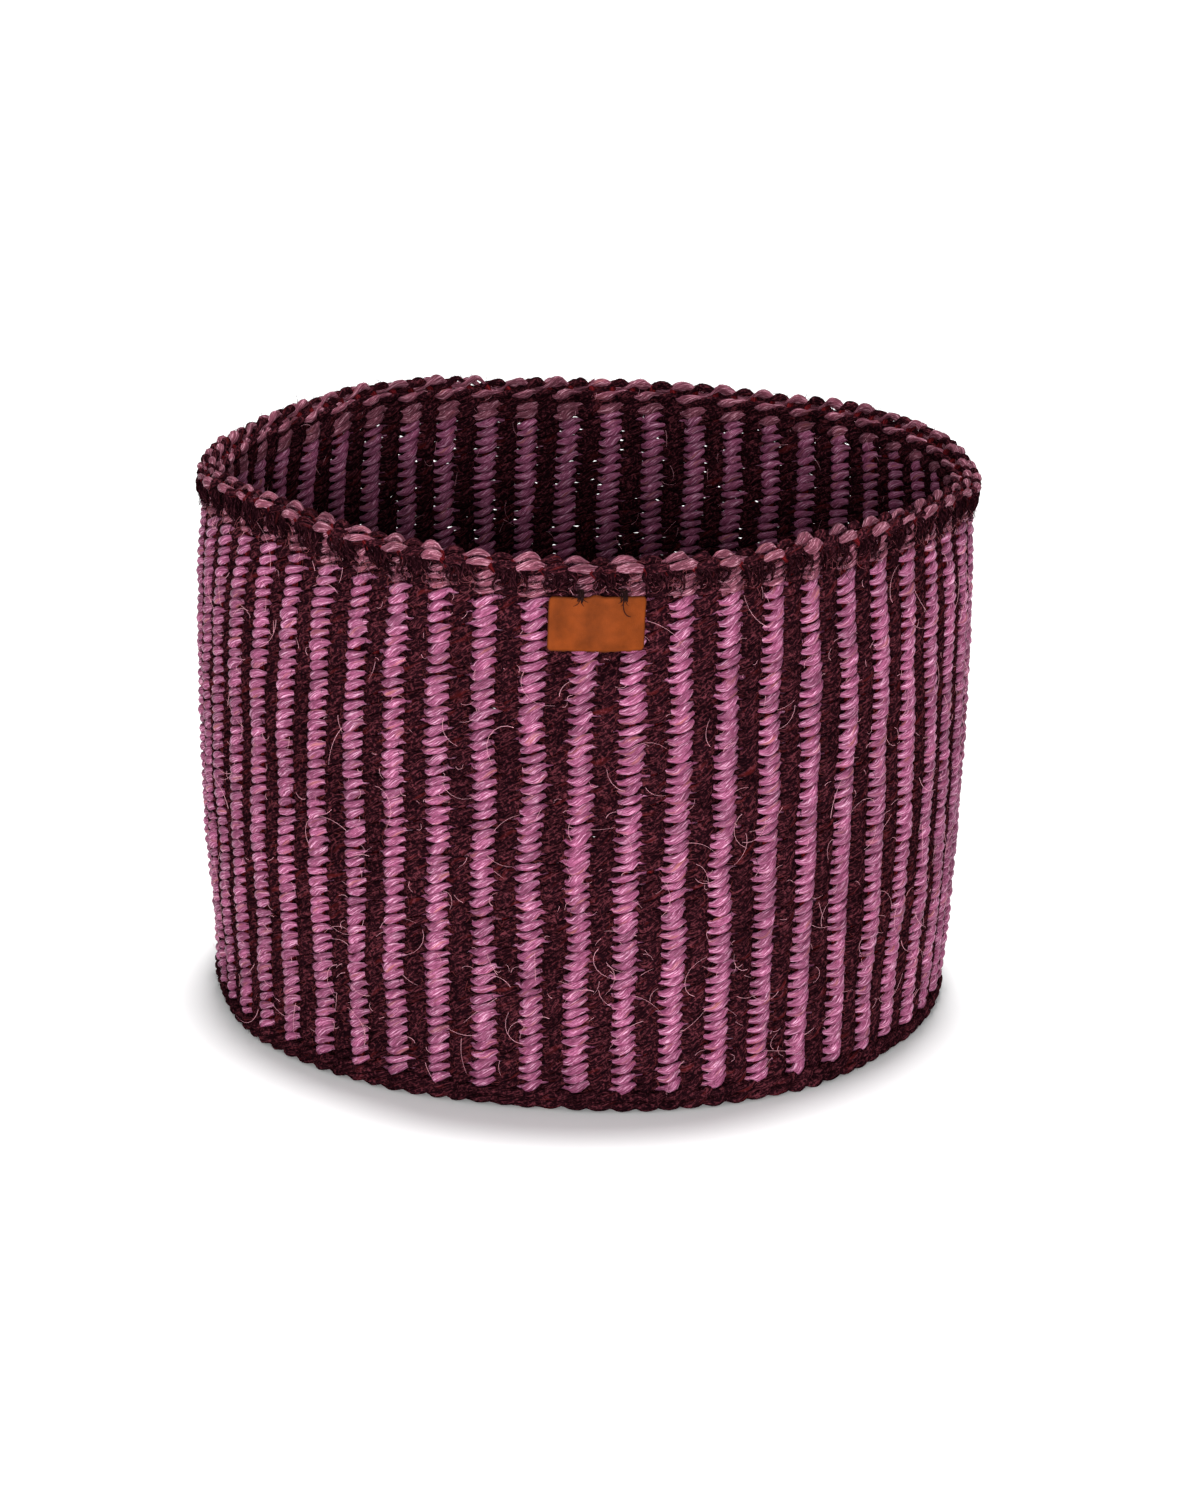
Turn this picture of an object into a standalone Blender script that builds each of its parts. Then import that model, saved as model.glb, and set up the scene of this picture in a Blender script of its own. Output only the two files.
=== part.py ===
"""Round storage basket twined from dyed sisal, with upright stripes and a sewn leather label.

Metres, +Z up. The origin is the middle of the underside and the label faces -Y.
"""

import math

import bmesh
import bpy
from mathutils import Vector

# Overall size
basket_height = 0.160
rim_radius = 0.1153
belly_radius = 0.1140
foot_radius = 0.1078

# Cords and the room left between touching pieces
weft_thickness = 0.0016
warp_width = 0.0022
warp_depth = 0.0019
clearance = 0.0003

# Uprights: the first spokes are doubled twice, and each upright carries one stripe
first_spokes = 26
spoke_spacing = 0.0064
branch_length = 0.0030
stripe_crown_share = 0.6

# Wall profile: foot, bend, belly and rim up the wall, and how far out the bend stands
wall_height_shares = (0.0, 0.27, 0.80, 1.0)
bend_spread_share = 0.62
rim_overhang = 0.0026

# Base and foot
base_lift = 0.0005
foot_row_height = 0.0046
foot_row_bulge = 0.0006
foot_row_dip = 0.0004
foot_row_chamfer = 0.0009
warp_bend = 0.0020
disc_sides = 52

# Rim
cap_height = 0.0022
cap_slope = 0.0017
cap_end_share = 0.5
tail_length = 0.0047
tail_place_share = 0.30

# Leather label
label_width = 0.026
label_height = 0.0146
label_thickness = 0.0011
label_sewn_height = 0.0030
label_sideways = 0.0035
label_steps = 6
thread_diameter = 0.0006
thread_drop = 0.0014
left_stitch_sideways = -0.0014
right_stitch_sideways = 0.0107
thread_sides = 6

# Places worked out from the sizes above
upright_count = 4 * first_spokes
upright_angle = 2 * math.pi / upright_count
front_angle = -math.pi / 2
base_under_top = base_lift + weft_thickness
base_warp_height = base_under_top + clearance
base_inside_bottom = base_warp_height + warp_depth + clearance
base_inside_top = base_inside_bottom + weft_thickness
wall_bottom = foot_row_height + clearance
wall_top = basket_height - cap_height - 2 * clearance - warp_depth
fold_height = wall_top + clearance
cap_bottom = fold_height + warp_depth + clearance
tail_bottom = fold_height - tail_length
label_top = tail_bottom - 2 * clearance - thread_diameter
label_bottom = label_top - label_height
label_fold = label_top - label_sewn_height
inside_offset = weft_thickness + 2 * clearance + warp_depth

# Finish: linear colours, and the angle above which an edge stays sharp
sharp_angle = math.radians(35)
cord_roughness = 0.75
leather_roughness = 0.6
pink_colour = (0.47, 0.13, 0.30)
dark_colour = (0.030, 0.008, 0.014)
warp_colour = (0.16, 0.015, 0.018)
leather_colour = (0.37, 0.11, 0.025)
thread_colour = (0.015, 0.006, 0.008)


def clear_scene():
    for item in list(bpy.data.objects):
        bpy.data.objects.remove(item)


def place(radius, angle, height):
    return Vector((radius * math.cos(angle), radius * math.sin(angle), height))


def upright(number):
    """Angle of an upright: number 0 is at the front, and even ones are pink outside."""
    return front_angle + number * upright_angle


def wall_heights():
    return [wall_bottom + share * (wall_top - wall_bottom) for share in wall_height_shares]


def wall_radius(height):
    """Outer radius of the wall's weft at a height, along the straight runs between bends."""
    heights = wall_heights()
    bend_radius = foot_radius + bend_spread_share * (belly_radius - foot_radius)
    radii = [foot_radius, bend_radius, belly_radius, rim_radius - rim_overhang]
    last = len(heights) - 2
    step = next((i for i in range(last) if height < heights[i + 1]), last)
    along = (height - heights[step]) / (heights[step + 1] - heights[step])
    return radii[step] + along * (radii[step + 1] - radii[step])


def dyed_material(name, colour, roughness):
    material = bpy.data.materials.new(name)
    material.use_nodes = True
    shader = material.node_tree.nodes["Principled BSDF"]
    shader.inputs["Base Color"].default_value = (*colour, 1.0)
    shader.inputs["Roughness"].default_value = roughness
    shader.inputs["Metallic"].default_value = 0.0
    return material


def publish(name, target, colours, roughness=cord_roughness, origin=None):
    """Makes one named object of the mesh, with its faces outward and its own materials."""
    bmesh.ops.recalc_face_normals(target, faces=target.faces)
    start = origin or Vector()
    bmesh.ops.translate(target, vec=-start, verts=target.verts)
    mesh = bpy.data.meshes.new(name)
    target.to_mesh(mesh)
    target.free()
    mesh.shade_smooth()
    mesh.set_sharp_from_angle(angle=sharp_angle)
    for number, colour in enumerate(colours):
        material_name = name if number == 0 else name + "_second"
        mesh.materials.append(dyed_material(material_name, colour, roughness))
    piece = bpy.data.objects.new(name, mesh)
    piece.location = start
    bpy.context.scene.collection.objects.link(piece)


def add_points(target, points):
    return [target.verts.new(point) for point in points]


def sweep(target, rings):
    """Adds one closed solid that runs through the rings of points and is capped at both ends."""
    loops = [add_points(target, ring) for ring in rings]
    for lower, upper in zip(loops, loops[1:]):
        for side in range(len(lower)):
            after = (side + 1) % len(lower)
            target.faces.new((lower[side], lower[after], upper[after], upper[side]))
    target.faces.new(loops[0])
    target.faces.new(loops[-1])


def turned(target, outlines, slots=(0,)):
    """Adds one closed ring. Each outline is its (radius, height) points at one angle."""
    count = len(outlines)
    loops = []
    for number, outline in enumerate(outlines):
        angle = front_angle + 2 * math.pi * number / count
        loops.append(add_points(target, [place(r, angle, h) for r, h in outline]))
    for number, loop in enumerate(loops):
        following = loops[(number + 1) % count]
        for side in range(len(loop)):
            after = (side + 1) % len(loop)
            corners = (loop[side], loop[after], following[after], following[side])
            target.faces.new(corners).material_index = slots[number % len(slots)]


def stripe_section(number, height, outside, crossing):
    """One stripe's points at a height: its back from left to right, then its face.

    Where the strand crosses the wall the back has two more points, clear of the warp.
    """
    angle = upright(number)
    surface = wall_radius(height)
    back = surface - weft_thickness if outside else surface - inside_offset
    half = upright_angle / 2 - clearance / (2 * back)
    beside_warp = (warp_width / 2 + clearance) / (back - weft_thickness)
    turns = [-half, -beside_warp, beside_warp, half] if crossing else [-half, half]
    backs = [place(back, angle + turn, height) for turn in turns]
    if outside:
        crown = half * stripe_crown_share
        faces = [place(surface, angle + turn, height) for turn in (-crown, crown)]
    else:
        faces = [place(back - weft_thickness, angle, height)]
    return backs, faces


def weft_strand(name, first, crossing, colour):
    """One strand of the twined pair, with its stacked stitches as one stripe an upright.

    It lies outside every second upright and inside the others, and passes through the
    wall between two warps in one stretch of its height, where the other strand doesn't.
    """
    target = bmesh.new()
    columns = []
    for number in range(upright_count):
        outside = number % 2 == first
        heights = wall_heights()
        if not outside:
            heights[0] = base_inside_top + clearance
        rows = []
        for step, height in enumerate(heights):
            crosses = step in (crossing, crossing + 1)
            backs, faces = stripe_section(number, height, outside, crosses)
            rows.append((add_points(target, backs), add_points(target, faces)))
        columns.append(rows)
    for number, rows in enumerate(columns):
        following = columns[(number + 1) % upright_count]
        for step, (lower, upper) in enumerate(zip(rows, rows[1:])):
            low_back, low_face = lower
            high_back, high_face = upper
            target.faces.new((low_back[0], low_face[0], high_face[0], high_back[0]))
            target.faces.new((low_back[-1], low_face[-1], high_face[-1], high_back[-1]))
            if len(low_face) > 1:
                target.faces.new((*low_face, *reversed(high_face)))
            if step != crossing:
                target.faces.new((*low_back, *reversed(high_back)))
                continue
            target.faces.new((*low_back[1:3], *reversed(high_back[1:3])))
            next_low = following[step][0]
            next_high = following[step + 1][0]
            target.faces.new((low_back[2], next_low[0], next_high[0], high_back[2]))
            target.faces.new((low_back[3], next_low[1], next_high[1], high_back[3]))
            target.faces.new((low_back[2], low_back[3], next_low[1], next_low[0]))
            target.faces.new((high_back[2], high_back[3], next_high[1], next_high[0]))
        for backs, faces in (rows[0], rows[-1]):
            target.faces.new((*backs, *reversed(faces)))
    publish(name, target, [colour])


def corner_radius(height, away):
    """Radius of the slant where the warps turn up, at a distance from their lower side."""
    start = foot_radius - weft_thickness - clearance - warp_bend
    return start + (height - base_warp_height) + away * math.sqrt(2)


def warp_path(number, base_radii):
    """Lower and outer side of one warp: (radius, angle, height) from the base to its tail."""
    angle = upright(number)
    foot = foot_radius - weft_thickness - clearance
    behind = weft_thickness + clearance
    sideways = 1 - tail_place_share if number % 2 == 0 else tail_place_share
    tail_angle = angle + sideways * upright_angle
    path = [(radius, angle, base_warp_height) for radius in base_radii]
    path.append((foot - warp_bend, angle, base_warp_height))
    path.append((foot, angle, base_warp_height + warp_bend))
    for height in wall_heights()[1:-1]:
        path.append((wall_radius(height) - behind, angle, height))
    path.append((wall_radius(wall_top) - behind, angle, fold_height))
    path.append((wall_radius(wall_top) + clearance, tail_angle, fold_height))
    path.append((wall_radius(tail_bottom) + clearance, tail_angle, tail_bottom))
    return path


def warp_rings(path):
    """Three-sided cord on the path: left and right of its flat side, then its ridge."""
    rings = []
    last = len(path) - 1
    for i, (radius, angle, height) in enumerate(path):
        before = path[max(i - 1, 0)]
        after = path[min(i + 1, last)]
        into = Vector((radius - before[0], height - before[2]))
        out = Vector((after[0] - radius, after[2] - height))
        into = into.normalized() if i > 0 else out.normalized()
        out = out.normalized() if i < last else into
        along = (into + out).normalized()
        depth = warp_depth / along.dot(out)
        tangent = Vector((-math.sin(angle), math.cos(angle), 0)) * (warp_width / 2)
        seat = place(radius, angle, height)
        ridge = place(radius - along.y * depth, angle, height + along.x * depth)
        rings.append([seat - tangent, seat + tangent, ridge])
    return rings


def laying_radii():
    """Radii on the base where cords are laid in, once the spokes stand a pitch apart."""
    first = first_spokes * spoke_spacing / (2 * math.pi)
    return [first, 2 * first]


def warp(target, number, start, layings):
    """One warp from its start outward. It returns its first loop and, for each laying radius,
    the pair of loops that the laid-in cord grows from on its right side."""
    base_radii = [start]
    for radius in layings:
        base_radii += [radius, radius + branch_length]
    loops = [add_points(target, ring) for ring in warp_rings(warp_path(number, base_radii))]
    grown = [2 * i + 1 for i in range(len(layings))]
    for i, (near, far) in enumerate(zip(loops, loops[1:])):
        target.faces.new((near[0], near[1], far[1], far[0]))
        target.faces.new((near[2], near[0], far[0], far[2]))
        if i not in grown:
            target.faces.new((near[1], near[2], far[2], far[1]))
    target.faces.new(loops[-1])
    return loops[0], [(loops[i], loops[i + 1]) for i in grown]


def lay_in(target, number, roots, layings):
    """A cord laid in beside the one to its left, from whose side it grows."""
    near, far = roots
    start = laying_radii()[-1 - len(layings)] + 2 * branch_length
    first, grown = warp(target, number, start, layings)
    left, right, ridge = first
    target.faces.new((near[1], right, left, far[1]))
    target.faces.new((near[1], near[2], ridge, right))
    target.faces.new((far[1], left, ridge, far[2]))
    target.faces.new((near[2], far[2], ridge))
    return grown


def warps():
    """All the warps as one body: the spokes cross in the middle, the others lie beside them."""
    inner, outer = laying_radii()
    crossing = first_spokes * (warp_width + clearance) / (2 * math.pi)
    target = bmesh.new()
    starts = []
    for number in range(0, upright_count, 4):
        first, grown = warp(target, number, crossing, [inner, outer])
        starts.append(first)
        beside = lay_in(target, number + 2, grown[0], [outer])
        lay_in(target, number + 1, grown[1], [])
        lay_in(target, number + 3, beside[0], [])
    target.faces.new([point for first in starts for point in first[:2]])
    target.faces.new([first[2] for first in starts])
    for first, following in zip(starts, starts[1:] + starts[:1]):
        target.faces.new((first[1], following[0], following[2], first[2]))
    publish("warps", target, [warp_colour])


def base_disc(name, radius, bottom, top):
    """One face of the flat spiral of dark weft that makes the base."""
    turns = [front_angle + 2 * math.pi * i / disc_sides for i in range(disc_sides)]
    target = bmesh.new()
    sweep(target, [[place(radius, turn, height) for turn in turns] for height in (bottom, top)])
    publish(name, target, [dark_colour])


def foot_row_inner():
    return corner_radius(base_under_top, clearance)


def base():
    base_disc("base_weft_under", foot_row_inner() - clearance, base_lift, base_under_top)
    inside_radius = corner_radius(base_inside_bottom, -(warp_depth + clearance))
    base_disc("base_weft_inside", inside_radius, base_inside_bottom, base_inside_top)


def foot_row():
    """The twined corner row: its outer side swells at each stitch and dips between two."""
    inner = foot_row_inner()
    inner_top = corner_radius(foot_row_height, clearance)
    outlines = []
    for number in range(upright_count):
        swell = foot_row_bulge if number % 2 == 0 else foot_row_bulge - foot_row_dip
        outer = foot_radius + swell
        outlines.append(
            [
                (inner, 0),
                (outer - foot_row_chamfer, 0),
                (outer, foot_row_height / 2),
                (outer - foot_row_chamfer, foot_row_height),
                (inner_top, foot_row_height),
                (inner, base_under_top),
            ]
        )
    target = bmesh.new()
    turned(target, outlines)
    publish("foot_row", target, [dark_colour])


def cap_outline(size):
    """Section of the rim row, drawn in to a share of its full height and width."""
    inner = wall_radius(wall_top) - inside_offset - weft_thickness
    middle = (inner + rim_radius) / 2
    reach = (rim_radius - inner) / 2 * size
    top = cap_bottom + cap_height * size
    slope = cap_slope * size
    return [
        (middle - reach, cap_bottom),
        (middle + reach, cap_bottom),
        (middle + reach - slope, top),
        (middle - reach + slope, top),
    ]


def rim_row():
    """The last twined row over the folded warps, with a cap at each upright, pink and dark."""
    target = bmesh.new()
    outlines = [cap_outline(1), cap_outline(cap_end_share)] * upright_count
    turned(target, outlines, slots=(0, 1, 1, 0))
    publish("rim_row", target, [pink_colour, dark_colour])


def at_front(sideways):
    """Angle on the wall of a place that far to the right of the front's middle."""
    return front_angle + math.asin(sideways / wall_radius(label_top))


def leather_rings(bottom, top):
    half = label_width / 2 / wall_radius(label_top)
    rings = []
    for step in range(label_steps + 1):
        angle = at_front(label_sideways) + half * (2 * step / label_steps - 1)
        low = wall_radius(bottom) + clearance
        high = wall_radius(top) + clearance
        rings.append(
            [
                place(low, angle, bottom),
                place(low + label_thickness, angle, bottom),
                place(high + label_thickness, angle, top),
                place(high, angle, top),
            ]
        )
    return rings


def label():
    """One piece of leather: its sewn top edge stays put and the flap below it can be lifted."""
    edge = bmesh.new()
    sweep(edge, leather_rings(label_fold, label_top))
    publish("label_sewn_edge", edge, [leather_colour], leather_roughness)
    flap_top = label_fold - clearance
    hinge_radius = wall_radius(flap_top) + clearance + label_thickness
    hinge = place(hinge_radius, at_front(label_sideways), flap_top)
    flap = bmesh.new()
    sweep(flap, leather_rings(label_bottom, flap_top))
    publish("label_flap", flap, [leather_colour], leather_roughness, origin=hinge)


def stitch(name, sideways):
    """A thread from the label's face, over its top edge and back to the weave above it."""
    reach = clearance + thread_diameter / 2
    over_label = clearance + label_thickness + reach
    low = label_top - thread_drop
    high = label_top - thread_diameter / 2
    above = label_top + reach
    path = [
        (wall_radius(low) + over_label, low),
        (wall_radius(high) + over_label, high),
        (wall_radius(high) + over_label - thread_diameter, above),
        (wall_radius(above) + reach, above),
    ]
    slants = [0, 0, math.pi / 4, math.pi / 2]
    angle = at_front(sideways)
    tangent = Vector((-math.sin(angle), math.cos(angle), 0))
    outward = Vector((math.cos(angle), math.sin(angle), 0))
    rings = []
    for (radius, height), slant in zip(path, slants):
        across = outward * math.cos(slant) + Vector((0, 0, math.sin(slant)))
        ring = []
        for side in range(thread_sides):
            turn = 2 * math.pi * side / thread_sides
            aside = tangent * math.cos(turn) + across * math.sin(turn)
            ring.append(place(radius, angle, height) + aside * (thread_diameter / 2))
        rings.append(ring)
    target = bmesh.new()
    sweep(target, rings)
    publish(name, target, [thread_colour])


clear_scene()
warps()
base()
foot_row()
weft_strand("wall_weft_pink", 0, 1, pink_colour)
weft_strand("wall_weft_dark", 1, 2, dark_colour)
rim_row()
label()
stitch("label_stitch_left", left_stitch_sideways)
stitch("label_stitch_right", right_stitch_sideways)
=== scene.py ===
"""Looks of a round kiondo: a basket twined from dyed sisal, with a small sewn leather label."""

import math
import random

import bmesh
import bpy
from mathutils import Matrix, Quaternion, Vector


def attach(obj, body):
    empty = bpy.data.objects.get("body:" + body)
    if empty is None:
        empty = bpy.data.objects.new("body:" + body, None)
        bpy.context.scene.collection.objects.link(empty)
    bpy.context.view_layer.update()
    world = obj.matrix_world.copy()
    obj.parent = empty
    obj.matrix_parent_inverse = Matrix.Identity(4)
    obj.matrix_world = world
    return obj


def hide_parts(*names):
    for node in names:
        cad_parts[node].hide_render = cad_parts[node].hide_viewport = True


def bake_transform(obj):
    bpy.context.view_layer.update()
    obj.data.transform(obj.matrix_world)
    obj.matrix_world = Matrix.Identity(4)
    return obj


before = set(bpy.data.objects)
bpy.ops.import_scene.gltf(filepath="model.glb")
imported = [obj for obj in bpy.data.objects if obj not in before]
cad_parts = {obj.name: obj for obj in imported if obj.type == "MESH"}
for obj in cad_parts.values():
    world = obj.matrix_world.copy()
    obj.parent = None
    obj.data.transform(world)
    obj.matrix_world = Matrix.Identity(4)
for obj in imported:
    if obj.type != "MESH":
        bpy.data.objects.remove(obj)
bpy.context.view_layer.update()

# Warp cords
# Two-ply sisal cords, dyed dark red, that cross in the middle of the base. More cords are laid in
# as the spokes spread, until 104 of them turn up the wall, fold over the rim and end outside it.
mm = 0.001
upright_count = 104
front_angle = -math.pi / 2
basket_height = 160 * mm
# Height, then the radius of the wall's outside, in mm.
wall_profile = (
    (0, 108.7), (6, 109.4), (20, 110.6), (45, 112.5),
    (85, 113.8), (125, 114.2), (155, 112.8), (160, 112.7)
)
# Degrees from the front, round by the right side, then how far the foot bulges out, in mm.
foot_shape = (
    (0, 2.0), (10, 3.2), (30, 4.0), (50, 1.0), (70, 0), (180, 0), (285, 0), (300, 2.0),
    (318, 2.2), (335, 1.0), (352, 0.6), (360, 2.0)
)
# Degrees round as for the foot, then how far the rim stands up and how far it leans out, in mm.
rim_shape = (
    (0, 1.2, 0), (17, 1.9, 0), (30, 2.4, -2), (45, 3.0, -4), (60, 4.0, -4), (72, 3.6, -2.5),
    (90, -0.3, 0), (107, 2.2, 0), (123, 2.4, 0), (140, 1.4, 0), (160, 0, 0), (180, 0, 0),
    (196, 0.6, 0), (203, 2.6, 0), (210, 2.6, 0), (218, 3.6, 0), (227, 2.6, 0), (240, 1.0, 0),
    (253, 0, 0), (270, -1.0, 0), (288, 3.4, -2.5), (300, 4.2, -4), (315, 3.2, -5),
    (330, 2.4, -2.5), (343, 1.9, 0), (360, 1.2, 0)
)
# How unevenly cords lie that are pulled tight by hand: the size of a swell, and how far the cords
# then stray sideways, out and up, all told.
sway_size = 26 * mm
sway_amount = Vector((4.0, 2.4, 1.6)) * mm
# The rim as a whole lies a little to the right.
rim_lean = 0.9 * mm
# How fast the rim's lean and lift fade below it, and the foot's bulge above it.
lean_fade = 4.0
lift_fade = 8.0
bulge_fade = 10.0
# The radius of the base's edge, and the one at which the wall is unrolled.
base_edge = 109.2 * mm
unrolled_radius = 113 * mm
# Radians in a metre of cord, and in a metre of a ply that has come loose.
cord_twist = 200.0
tail_twist = 700.0

# The kinds of node that are used most.
MATH = "ShaderNodeMath"
VECTOR = "ShaderNodeVectorMath"
NOISE = "ShaderNodeTexNoise"
RANGE = "ShaderNodeMapRange"
MIX = "ShaderNodeMix"
BUMP = "ShaderNodeBump"


def linear(hex_colour):
    """An sRGB hex colour as the linear RGBA that the shaders take."""
    shares = [int(hex_colour[i : i + 2], 16) / 255 for i in (1, 3, 5)]
    return (*[s / 12.92 if s <= 0.04045 else ((s + 0.055) / 1.055) ** 2.4 for s in shares], 1.0)


def add(tree, kind, inputs=(), **settings):
    """Adds one node with its settings. Each input is a value, or a node or socket to link."""
    node = tree.nodes.new(kind)
    for name, value in settings.items():
        setattr(node, name, value)
    for key, value in inputs.items() if isinstance(inputs, dict) else enumerate(inputs):
        if isinstance(value, bpy.types.Node):
            value = value.outputs[0]
        if isinstance(value, bpy.types.NodeSocket):
            tree.links.new(value, node.inputs[key])
        else:
            node.inputs[key].default_value = value
    return node


def new_tree(name, inputs, outputs):
    """A Geometry Nodes tree with named inputs and outputs, and the sockets of its inputs."""
    tree = bpy.data.node_groups.new(name, "GeometryNodeTree")
    for direction, sockets in (("INPUT", inputs), ("OUTPUT", outputs)):
        for label, kind in sockets.items():
            tree.interface.new_socket(name=label, in_out=direction, socket_type="NodeSocket" + kind)
    return tree, add(tree, "NodeGroupInput").outputs


def grow(name, tree, values, body="basket"):
    """Runs a tree with its inputs set and keeps the result as a plain mesh, riding on a body if one
    is named."""
    maker = bpy.data.objects.new(name + "_maker", bpy.data.meshes.new(name + "_maker"))
    bpy.context.scene.collection.objects.link(maker)
    nodes = maker.modifiers.new("nodes", "NODES")
    nodes.node_group = tree
    for item in tree.interface.items_tree:
        if item.in_out == "INPUT":
            nodes[item.identifier] = values[item.name]
    grown = maker.evaluated_get(bpy.context.evaluated_depsgraph_get())
    piece = bpy.data.objects.new(name, bpy.data.meshes.new_from_object(grown))
    piece.data.name = name
    bpy.data.objects.remove(maker)
    bpy.context.scene.collection.objects.link(piece)
    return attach(piece, body) if body else piece


place_tree, given = new_tree(
    "place on the basket",
    {"Angle": "Float", "Height": "Float", "Out": "Float"},
    {"Position": "Vector", "Outward": "Vector"},
)
cosine = add(place_tree, MATH, (given["Angle"],), operation="COSINE")
sine = add(place_tree, MATH, (given["Angle"],), operation="SINE")
level = add(place_tree, MATH, (given["Height"], 1 / basket_height), operation="MULTIPLY", use_clamp=True)
full_turn = add(place_tree, MATH, (given["Angle"], 1 / (2 * math.pi), 0.25), operation="MULTIPLY_ADD")
full_turn = add(place_tree, MATH, (full_turn,), operation="FRACT")


def drawn_curve(share, full, spots):
    """Reads a curve drawn through (place, millimetres) spots, at a share of the full place."""
    lengths = [length for place, length in spots]
    low, high = min(lengths), max(lengths)
    drawn = add(place_tree, "ShaderNodeFloatCurve", {"Value": share})
    curve = drawn.mapping.curves[0]
    corners = [(place / full, (length - low) / (high - low)) for place, length in spots]
    curve.points[0].location = corners[0]
    curve.points[-1].location = corners[-1]
    for corner in corners[1:-1]:
        curve.points.new(*corner)
    drawn.mapping.update()
    return add(place_tree, MATH, (drawn, (high - low) * mm, low * mm), operation="MULTIPLY_ADD")


plain_radius = drawn_curve(level, basket_height / mm, wall_profile)
rim_lift = drawn_curve(full_turn, 360, [(degrees, up) for degrees, up, away in rim_shape])
rim_away = drawn_curve(full_turn, 360, [(degrees, away) for degrees, up, away in rim_shape])
foot_away = drawn_curve(full_turn, 360, foot_shape)
upper_wall = add(place_tree, MATH, (level, lean_fade), operation="POWER")
near_rim = add(place_tree, MATH, (level, lift_fade), operation="POWER")
near_foot = add(place_tree, MATH, (1.0, level), operation="SUBTRACT")
near_foot = add(place_tree, MATH, (near_foot, bulge_fade), operation="POWER")
plain_radius = add(place_tree, MATH, (rim_away, upper_wall, plain_radius), operation="MULTIPLY_ADD")
on_edge = add(place_tree, MATH, (given["Out"], 1 / base_edge, 1.0), operation="MULTIPLY_ADD")
foot_away = add(place_tree, MATH, (foot_away, on_edge), operation="MULTIPLY")
plain_radius = add(place_tree, MATH, (foot_away, near_foot, plain_radius), operation="MULTIPLY_ADD")
around = add(place_tree, "ShaderNodeCombineXYZ", (cosine, sine, 0.0))
on_ring = add(place_tree, VECTOR, {0: around, "Scale": unrolled_radius}, operation="SCALE")
raised = add(place_tree, "ShaderNodeCombineXYZ", (0.0, 0.0, given["Height"]))
spot = add(place_tree, VECTOR, (on_ring, raised), operation="ADD")
noise = add(place_tree, NOISE, {"Vector": spot, "Scale": 1 / sway_size, "Detail": 1.5})
centred = add(place_tree, VECTOR, (noise.outputs["Color"], (0.5, 0.5, 0.5)), operation="SUBTRACT")
sway = add(place_tree, VECTOR, (centred, sway_amount), operation="MULTIPLY")
sway = add(place_tree, "ShaderNodeSeparateXYZ", (sway,)).outputs
turn = add(place_tree, MATH, (sway["X"], plain_radius), operation="DIVIDE")
angle = add(place_tree, MATH, (given["Angle"], turn), operation="ADD")
bulge = add(place_tree, MATH, (plain_radius, sway["Y"]), operation="ADD")
radius = add(place_tree, MATH, (bulge, given["Out"]), operation="ADD")
lift = add(place_tree, MATH, (sway["Z"], level, given["Height"]), operation="MULTIPLY_ADD")
cosine = add(place_tree, MATH, (angle,), operation="COSINE")
sine = add(place_tree, MATH, (angle,), operation="SINE")
outward = add(place_tree, "ShaderNodeCombineXYZ", (cosine, sine, 0.0))
flat = add(place_tree, VECTOR, {0: outward, "Scale": radius}, operation="SCALE")
leaning = add(place_tree, MATH, (near_rim, rim_lean), operation="MULTIPLY")
lift = add(place_tree, MATH, (rim_lift, near_rim, lift), operation="MULTIPLY_ADD")
shift = add(place_tree, "ShaderNodeCombineXYZ", (leaning, 0.0, lift))
position = add(place_tree, VECTOR, (flat, shift), operation="ADD")
add(place_tree, "NodeGroupOutput", (position, outward))

cord_tree, given = new_tree(
    "cord on a curve",
    {
        "Curve": "Geometry", "Along": "Float", "Scale": "Float", "Width": "Float",
        "Depth": "Float", "Sides": "Int", "Twist": "Float", "Material": "Material",
    },
    {"Mesh": "Geometry"},
)
laid = add(cord_tree, "GeometryNodeCaptureAttribute", {"Geometry": given["Curve"]}, domain="POINT")
laid.capture_items.new("FLOAT", "Along")
cord_tree.links.new(given["Along"], laid.inputs["Along"])
circle = add(cord_tree, "GeometryNodeCurvePrimitiveCircle", {"Resolution": given["Sides"], "Radius": 1.0})
around = add(cord_tree, "GeometryNodeCaptureAttribute", {"Geometry": circle}, domain="POINT")
around.capture_items.new("VECTOR", "Side")
cord_tree.links.new(add(cord_tree, "GeometryNodeInputPosition").outputs[0], around.inputs["Side"])
half_depth = add(cord_tree, MATH, (given["Depth"], 0.5), operation="MULTIPLY")
half_width = add(cord_tree, MATH, (given["Width"], 0.5), operation="MULTIPLY")
section_size = add(cord_tree, "ShaderNodeCombineXYZ", (half_depth, half_width, 1.0))
section = add(cord_tree, "GeometryNodeTransform", {"Geometry": around, "Scale": section_size})
swept = add(
    cord_tree,
    "GeometryNodeCurveToMesh",
    {"Curve": laid, "Profile Curve": section, "Scale": given["Scale"], "Fill Caps": True},
)
mean_radius = add(cord_tree, MATH, (half_depth, half_width), operation="ADD")
mean_radius = add(cord_tree, MATH, (mean_radius, 0.5), operation="MULTIPLY")
side = add(cord_tree, VECTOR, {0: around.outputs["Side"], "Scale": mean_radius}, operation="SCALE")
turned = add(cord_tree, MATH, (laid.outputs["Along"], given["Twist"]), operation="MULTIPLY")
turned = add(
    cord_tree, "ShaderNodeVectorRotate", {"Vector": side, "Angle": turned}, rotation_type="Z_AXIS"
)
length = add(cord_tree, "ShaderNodeCombineXYZ", (0.0, 0.0, laid.outputs["Along"]))
fibre_place = add(cord_tree, VECTOR, (turned, length), operation="ADD")
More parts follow.
